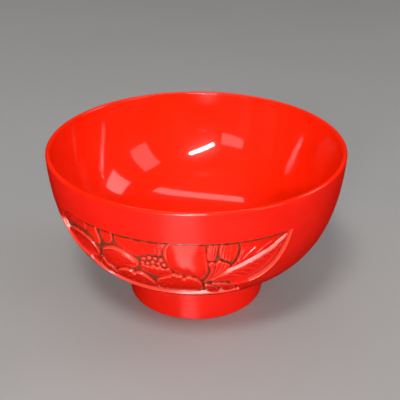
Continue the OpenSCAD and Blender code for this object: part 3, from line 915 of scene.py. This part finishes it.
# Each piece: node, finish, outline of angles and heights, shape, and its middle where one is set
RELIEF = [
    ("round_petal", PETAL,
     [(-11.9, 49.2), (-10.8, 52.4), (-8.4, 53.9), (-3, 53.9), (2.4, 53.9), (3.1, 50), (3.8, 45.2),
      (4.5, 41), (4.4, 38.4), (3.4, 36.4), (1.9, 34.8), (0.4, 36.2), (-2.6, 37.8), (-5.4, 37.9),
      (-8.5, 39.5), (-10.8, 42.8), (-11.8, 46)],
     round_petal_shape, (-4, 45)),
    ("lower_middle_petal", PETAL,
     [(-16.9, 30.4), (-16, 33.1), (-14, 35.1), (-11.2, 36.5), (-9.4, 37.8), (-8.4, 38.1), (-7.5, 37.4),
      (-6.4, 37.6), (-5.4, 37.1), (-4.8, 35.5), (-4.1, 36.4), (-3, 37), (-1.8, 36.5), (-1, 35.9),
      (0.6, 35), (1.9, 33.2), (2.6, 31), (2.9, 28.4), (1.4, 23.8), (-6, 23.3), (-13.5, 23.6),
      (-16.2, 26.8)],
     lower_petal_shape([[(-14.9, 27.4), (-14.2, 30.2), (-12.4, 33)]]), (-7, 31)),
    ("lower_left_petal", PETAL,
     [(-36.4, 30.6), (-34.6, 32.9), (-32.4, 34.7), (-30.2, 35.8), (-28.2, 36.2), (-26.4, 35.8),
      (-25.3, 34.6), (-24.5, 35.8), (-23.2, 36.2), (-21.4, 35.7), (-19.4, 33.8), (-17.8, 31),
      (-17.4, 28), (-18.6, 23.7), (-25, 23.2), (-32, 23.9), (-37, 26.2)],
     lower_petal_shape([[(-33.4, 28.4), (-31, 31), (-28.4, 32.6)]]), (-26.4, 31)),
    ("left_petal", PETAL,
     [(-39.2, 40.5), (-38.2, 42.8), (-36.6, 44.4), (-34, 45.8), (-31.2, 46.4), (-28.2, 45.9),
      (-25.6, 44.8), (-23.4, 43.1), (-22.2, 41.2), (-22.6, 39.6), (-24.4, 38.3), (-27.6, 37.2),
      (-30.6, 36.4), (-33.2, 34.6), (-35.8, 33.6), (-38, 34.8), (-39.4, 37.4)],
     left_petal_shape, None),
    ("upper_petal", PETAL,
     [(-30, 53.5), (-24, 53.9), (-16, 53.9), (-9.8, 53.8), (-11.3, 51.6), (-12.4, 49), (-13.3, 47),
      (-17, 46.9), (-19.8, 45.9), (-22, 44.9), (-23.6, 44.7), (-26.2, 46.2), (-29.4, 47.4), (-30.4, 50)],
     upper_petal_shape, (-19.5, 50)),
    ("inner_petal", PETAL,
     [(-21.6, 39.9), (-21, 38), (-18.6, 36.2), (-16, 35.4), (-13, 36), (-10.4, 37.6), (-9.3, 39.2),
      (-10.4, 40.8), (-12, 40.2), (-13.4, 40.4), (-15.2, 40.5), (-17.2, 40.6), (-19.2, 40.8),
      (-20.8, 41)],
     inner_petal_shape, (-15.6, 38.4)),
    ("far_left_petal", PETAL,
     [(-40.4, 37.2), (-39.6, 34.2), (-37.4, 32), (-37.2, 28.8), (-40, 27), (-44, 28.4), (-45.2, 31.6),
      (-43, 34.8)],
     plain_petal_shape(0.95, [[(-43.4, 29.6), (-42, 33), (-40.4, 36)],
                              [(-40.6, 28.4), (-39.8, 31), (-38.2, 33)]]), None),
    ("strip_petal", PETAL,
     [(-44.2, 53.5), (-39.6, 53.7), (-38.9, 50.6), (-38.3, 47.4), (-39, 44.9), (-41.4, 45.6),
      (-43.4, 47.8), (-44.6, 50.6)],
     plain_petal_shape(1.0, [[(-43, 52.6), (-42.2, 49.6), (-39.4, 46.4)],
                             [(-41, 53), (-40.4, 50), (-39, 47.8)]]), (-41.2, 49.6)),
    ("calyx", PETAL,
     [(4.5, 43.6), (5.5, 44.6), (6.4, 44.4), (7, 43.7), (7.8, 44.7), (8.7, 45), (9.7, 44.2),
      (11.4, 43.4), (12.5, 42.2), (11.4, 40), (9, 37.5), (6.8, 35.6), (4.9, 33.6), (3.2, 33.2),
      (4.4, 35.6), (5.2, 38), (5.5, 40.6), (5.1, 42.2)],
     calyx_shape, (8.2, 41.2)),
    ("slim_bud", PETAL,
     [(3.9, 49.8), (4.2, 53.2), (6, 53.8), (7.8, 53.4), (7.4, 50), (6.9, 46.8), (6.1, 45.3),
      (4.7, 45.4), (3.9, 46.9)],
     bud_shape(1.05, 0.1, (-0.4, 0.05, 0.5)), None),
    ("full_bud", PETAL,
     [(8.1, 50), (8.8, 53.2), (11.4, 53.8), (14.3, 53.4), (14.8, 50), (14.4, 46.8), (13.3, 44.4),
      (11.8, 44.5), (10, 45.6), (8.6, 46.9)],
     bud_shape(1.2, 0.05, (-0.62, -0.3, 0.02, 0.55)), None),
    ("left_bud", PETAL,
     [(-36.6, 52.6), (-34, 53.7), (-31.9, 53), (-31.8, 49.6), (-33.4, 47.7), (-35.6, 47.6),
      (-36.7, 49.8)],
     plain_petal_shape(0.95), None),
    ("right_leaf_upper_blade", LEAF,
     [(13.1, 41.1), (14.6, 43.6), (15.5, 46.8), (15.9, 50), (15.4, 53.6), (22, 53.8), (33.4, 53.6),
      (30.2, 49.8), (25, 46.8), (19.6, 44.1), (15.6, 42)],
     leaf_shape(0.95, UPPER_STRANDS, 0.3, -0.3), (20.6, 49)),
    ("right_leaf_lower_blade", LEAF,
     [(5.6, 34.2), (8.8, 36.8), (12.4, 39.1), (16.4, 40.8), (22, 43.4), (28, 46.6), (32, 49.4),
      (34.4, 51.8), (33.1, 48.2), (31.7, 43.9), (29.2, 39.8), (26.1, 36.7), (22.9, 34.6), (19.4, 33.4),
      (14, 33.4), (9, 33.7)],
     leaf_shape(0.95, LOWER_VEINS, 0.2, -0.24, 0.1, 0.3), (22, 38.8)),
    ("short_low_leaf", LEAF,
     [(3.4, 31.6), (5.6, 31.7), (8, 30.4), (9.6, 28.6), (10.6, 25.2), (8.4, 24.5), (5.4, 26), (4, 29.2)],
     leaf_shape(1.05, [[(4.4, 30.2), (7, 28.4), (9, 26.4)]], 0.25, 0.25, 0.35, 0.3), (7, 29)),
    ("long_low_leaf", LEAF,
     [(6.4, 32.5), (9.6, 32.3), (13.4, 31.2), (16.4, 29.4), (18.6, 26.9), (18.6, 25.3), (15, 24.7),
      (12, 26.6), (10.4, 28.8), (8.4, 30.8)],
     leaf_shape(1.05, [[(9, 31), (12.4, 29.2), (16.4, 26.6)]], 0.25, 0.25, 0.35, 0.3), (13, 29.4)),
    ("upper_left_leaf", LEAF,
     [(-63.4, 46.4), (-60.6, 49.4), (-57, 52), (-53.4, 53.4), (-49, 53.8), (-45.3, 53.6),
      (-44.9, 50.8), (-45.8, 48.6), (-50, 48.8), (-56, 48.3), (-60.4, 46.9)],
     leaf_shape(0.95, [[(-61, 48), (-54, 50.6), (-45.6, 51.2)],
                       [(-58, 50.6), (-52, 52.3), (-45.8, 52.6)]], 0.25, 0.2), (-53, 50.6)),
    ("large_left_leaf", LEAF,
     [(-61.2, 41.6), (-59, 44.2), (-55, 46.2), (-50.4, 46.9), (-46.2, 46.6), (-42.8, 45),
      (-40.9, 42.6), (-40.4, 40), (-42.6, 37.8), (-47, 36.2), (-52, 35.4), (-57, 36.6), (-60.4, 39)],
     leaf_shape(1.05, BIG_LEFT_VEINS, 0.19, 0.16, 0.42, 0.4), None),
    ("small_left_leaf", LEAF,
     [(-50.2, 33.4), (-47.8, 35.1), (-44, 36.7), (-41.2, 37.6), (-43.4, 35), (-45.9, 32), (-48.4, 31)],
     leaf_shape(0.85, [[(-49, 33), (-46, 34.4), (-42, 36.8)]], 0.2, 0.2), (-46, 34.4)),
]
MIDRIB_LINE = [(5.4, 34.6), (8, 36.5), (10.4, 38.3), (12.8, 39.6), (15.4, 40.7), (20, 43.1),
               (25, 45.7), (30, 48.7), (34.6, 52.2)]
# Half the rib's width, and the step in angle and height from its line to its upper side
MIDRIB_HALF = 0.52
MIDRIB_SIDE = (0.26, 0.45)
# Where its crest is across it, how high its side and crest stand, and how wide its edge is rounded
MIDRIB_CREST = 0.8
MIDRIB_LOW, MIDRIB_RISE = 0.25, 0.98
MIDRIB_EDGE = 0.14
BEADS = [(-19.6, 44.2), (-17.3, 45.1), (-15.1, 45.1), (-12.9, 44.7), (-20.4, 41.9), (-18.3, 42.1),
         (-16.2, 43.1), (-14.1, 42.8), (-12, 42.5), (-16.2, 41.1), (-13.8, 40.9)]
BEAD_R = 0.93


def midrib_outline():
    """A slim lens round the midrib's line, in angle and height."""
    line = even(spline(MIDRIB_LINE, False, 8), False, 15)
    way = unit_rows(np.gradient(line, axis=0))
    t = np.linspace(0, 1, len(line))
    half = MIDRIB_HALF * (0.35 + 0.65 * np.sin(math.pi * held(t * 0.9 + 0.08)) ** 0.6)
    side = np.stack([-way[:, 1], way[:, 0]], 1) * half[:, None]
    upper, lower = (line + side)[1:-1], (line - side)[1:-1]
    return np.vstack([upper, line[-1:], lower[::-1], line[:1]])


def make_beads():
    """The stamens: small uneven beads, each a little flattened and dimpled at its top."""
    mesh = bmesh.new()
    tones = []
    for k, (angle, height) in enumerate(BEADS):
        at, above = (carved(angle, height, PANEL_DEPTH - lift * BEAD_R) for lift in (0.55, 1.55))
        out = Vector(above - at).normalized()
        size = BEAD_R * (0.93 + 0.07 * math.sin(2.4 * k)) * MM
        for v in bmesh.ops.create_icosphere(mesh, subdivisions=4, radius=1.0)["verts"]:
            x, y, z = v.co
            up = v.co.dot(out)
            lump = 1 + 0.05 * float(ripple(x * 2 + k, y * 2 + z, 3.0, k))
            dimple = 0.16 * math.exp(-((1 - up) / 0.06) ** 2)
            tones.append(0.9 * min(max((0.2 - up) / 0.4, 0), 1))
            v.co = Vector(at) + (v.co - out * (up * (0.14 + dimple))) * lump * size
    data = bpy.data.meshes.new("stamen_beads")
    mesh.to_mesh(data)
    mesh.free()
    data.shade_smooth()
    point_values(data, "tone_and_shade", tones)
    # A painted highlight pales every bead all over
    point_values(data, "painted_highlight", np.full(len(tones), 0.6))
    return add_object("stamen_beads", data)


# A spur of the wall that reaches into the panel over the low leaves
SPUR = [(14.2, 31.5), (17, 31.4), (20.4, 31.6), (22.4, 31.6), (22.4, 29), (21.8, 26.6), (21, 25),
        (20.4, 25.4), (19.7, 26.8), (18.4, 28.4), (16.8, 30)]


def spur_shape(p):
    """Flush with the outside of the wall, and a hair proud where it runs over it."""
    return PANEL_DEPTH * bevel(p.edge, 0.4) + 0.02 * bevel(p.edge - 0.2, 0.6), 0 * p.x, 0 * p.x


# ---- Building ----

def build_bowl():
    """The bowl's coats, the panel's ground and edge, and the wood under them all."""
    finish_piece(make_outer_coat(), SATIN, "outer_lacquer")
    finish_piece(make_inner_coat(), GLOSS, "inner_lacquer")
    lip_outer, lip_inner = make_lip_coats()
    finish_piece(lip_outer, SATIN, "lip_lacquer")
    finish_piece(lip_inner, GLOSS, "lip_lacquer")
    finish_piece(make_foot_coat(), SATIN, "foot_lacquer")
    finish_piece(make_well_coat(), SATIN, "foot_well_lacquer")
    finish_piece(make_ground(), GROUND, "panel_ground")
    finish_piece(make_panel_edge(), PETAL)
    finish_piece(make_relief("outer_coat_spur", SPUR, spur_shape, (19.4, 29.6), 160, 30, 0), SATIN)
    for node in ("wood_body", "wood_foot"):
        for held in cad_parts[node].material_slots:
            held.material = WOOD


def build_relief():
    """The flower, buds and leaves, with more points where veins are engraved."""
    for node, finish, outline, shape, middle in RELIEF:
        veined = "blade" in node or node == "large_left_leaf"
        around, rings = (420, 90) if veined else (240, 44)
        gap = LEAF_OUTSET if finish is LEAF else OUTSET
        piece = make_relief("relief_" + node, outline, shape, middle, around, rings, gap)
        finish_piece(piece, finish, node)
    rib = make_relief("relief_right_leaf_midrib", midrib_outline(), midrib_shape, (19.4, 42.5), 420, 20,
                      LEAF_OUTSET)
    finish_piece(rib, LEAF, "right_leaf_midrib")
    finish_piece(make_beads(), PETAL, "stamens")


# ---- The stage: camera, lights and floor, in metres ----

TARGET = Vector((0, 0, 0.032))
CAMERA_AWAY = 0.340
CAMERA_UP_DEG = 28.84
LAMP_COLOUR = (1.0, 0.99, 0.97)
WORLD_COLOUR = (0.86, 0.9, 1.0, 1)
FLOOR_HALF = 4.0


def direction(azimuth, elevation):
    """Unit vector towards an azimuth (0 is the front, 90 is +X) and an elevation in degrees."""
    a, e = math.radians(azimuth), math.radians(elevation)
    return Vector((math.sin(a) * math.cos(e), -math.cos(a) * math.cos(e), math.sin(e)))


def face_bowl(thing, azimuth, elevation, away):
    """Puts a lamp or camera at a distance in a direction, turned to the bowl."""
    thing.location = TARGET + away * direction(azimuth, elevation)
    thing.rotation_euler = (TARGET - thing.location).to_track_quat("-Z", "Y").to_euler()


def make_camera():
    """The photo's view, from a perspective fit of the bowl's outline."""
    data = bpy.data.cameras.new("camera")
    data.sensor_width = 36
    data.lens = 72.5
    data.shift_x, data.shift_y = 0.0093, 0.0451
    data.clip_start = 0.01
    scene.camera = add_object("camera", data)
    face_bowl(scene.camera, 0, CAMERA_UP_DEG, CAMERA_AWAY)


def softbox(name, azimuth, elevation, away, size, watts, roll=0, diffuse=True, mirrored=True):
    """A rectangular area light that faces the bowl from a direction. roll turns it in its plane.

    It lights the colour of a surface where diffuse is true, and shows in its polish where mirrored is.
    """
    data = bpy.data.lights.new(name, "AREA")
    data.shape = "RECTANGLE"
    data.size, data.size_y = size
    data.energy, data.color = watts, LAMP_COLOUR
    lamp = add_object(name, data)
    face_bowl(lamp, azimuth, elevation, away)
    lamp.rotation_euler.rotate_axis("Z", math.radians(roll))
    lamp.visible_diffuse = diffuse
    lamp.visible_glossy = mirrored


def make_lights():
    """The studio's lamps. Some only light colours, and some only show in the polish."""
    softbox("key", -14, 60, 1.2, (0.26, 0.26), 9, mirrored=False)
    softbox("ceiling", -8, 80, 1.5, (2.4, 1.3), 6.8, mirrored=False)
    # The inside mirrors this band, and the three cards that come last
    softbox("ceiling_band", 172, 82, 1.4, (1.3, 0.22), 4, roll=-12, diffuse=False)
    # The long glint on the midrib, the beads and the lip
    softbox("strip", -5.5, 26, 1.2, (0.52, 0.08), 11, roll=28)
    # The glare down the wall, as from a lamp mirrored in the photo's dark table
    softbox("table_glare", -11, -40, 1.0, (0.36, 1.1), 5.6, diffuse=False)
    softbox("back_fill", 205, 28, 1.5, (0.9, 0.7), 4, mirrored=False)
    softbox("low_glare", -9, 3.5, 1.0, (0.12, 0.05), 7, diffuse=False)
    softbox("window_card", 54, 24, 1.3, (0.4, 0.7), 2.4, roll=12)
    softbox("right_card", 98, 30, 1.2, (0.4, 0.5), 3.2)
    softbox("left_card", -34, 12, 1.4, (0.5, 0.35), 1.8)


def make_world():
    """A weak cool light from all round, which doesn't show in the polish."""
    world = bpy.data.worlds.new("studio")
    world.use_nodes = True
    back = world.node_tree.nodes["Background"]
    back.inputs["Color"].default_value = WORLD_COLOUR
    back.inputs["Strength"].default_value = 0.2
    world.cycles_visibility.glossy = False
    scene.world = world


def make_floor():
    """A large pale floor, matt and slightly uneven."""
    mesh = bpy.data.meshes.new("floor")
    corners = [(x * FLOOR_HALF, y * FLOOR_HALF, 0) for x, y in ((-1, -1), (1, -1), (1, 1), (-1, 1))]
    mesh.from_pydata(corners, [], [(0, 1, 2, 3)])
    floor = add_object("floor", mesh)
    s = Shader("pale_floor")
    s.set("Base Color", s.mix(s.noise(6, 3), FLOOR_DARK, FLOOR_LIGHT))
    s.set("Roughness", 0.6)
    mesh.materials.append(s.material)
    # The photo's table is dark, so the floor doesn't show in the polish
    floor.visible_glossy = False


make_camera()
make_lights()
make_world()
make_floor()
build_bowl()
build_relief()
scene.view_settings.view_transform = "Standard"
scene.view_settings.look = "None"
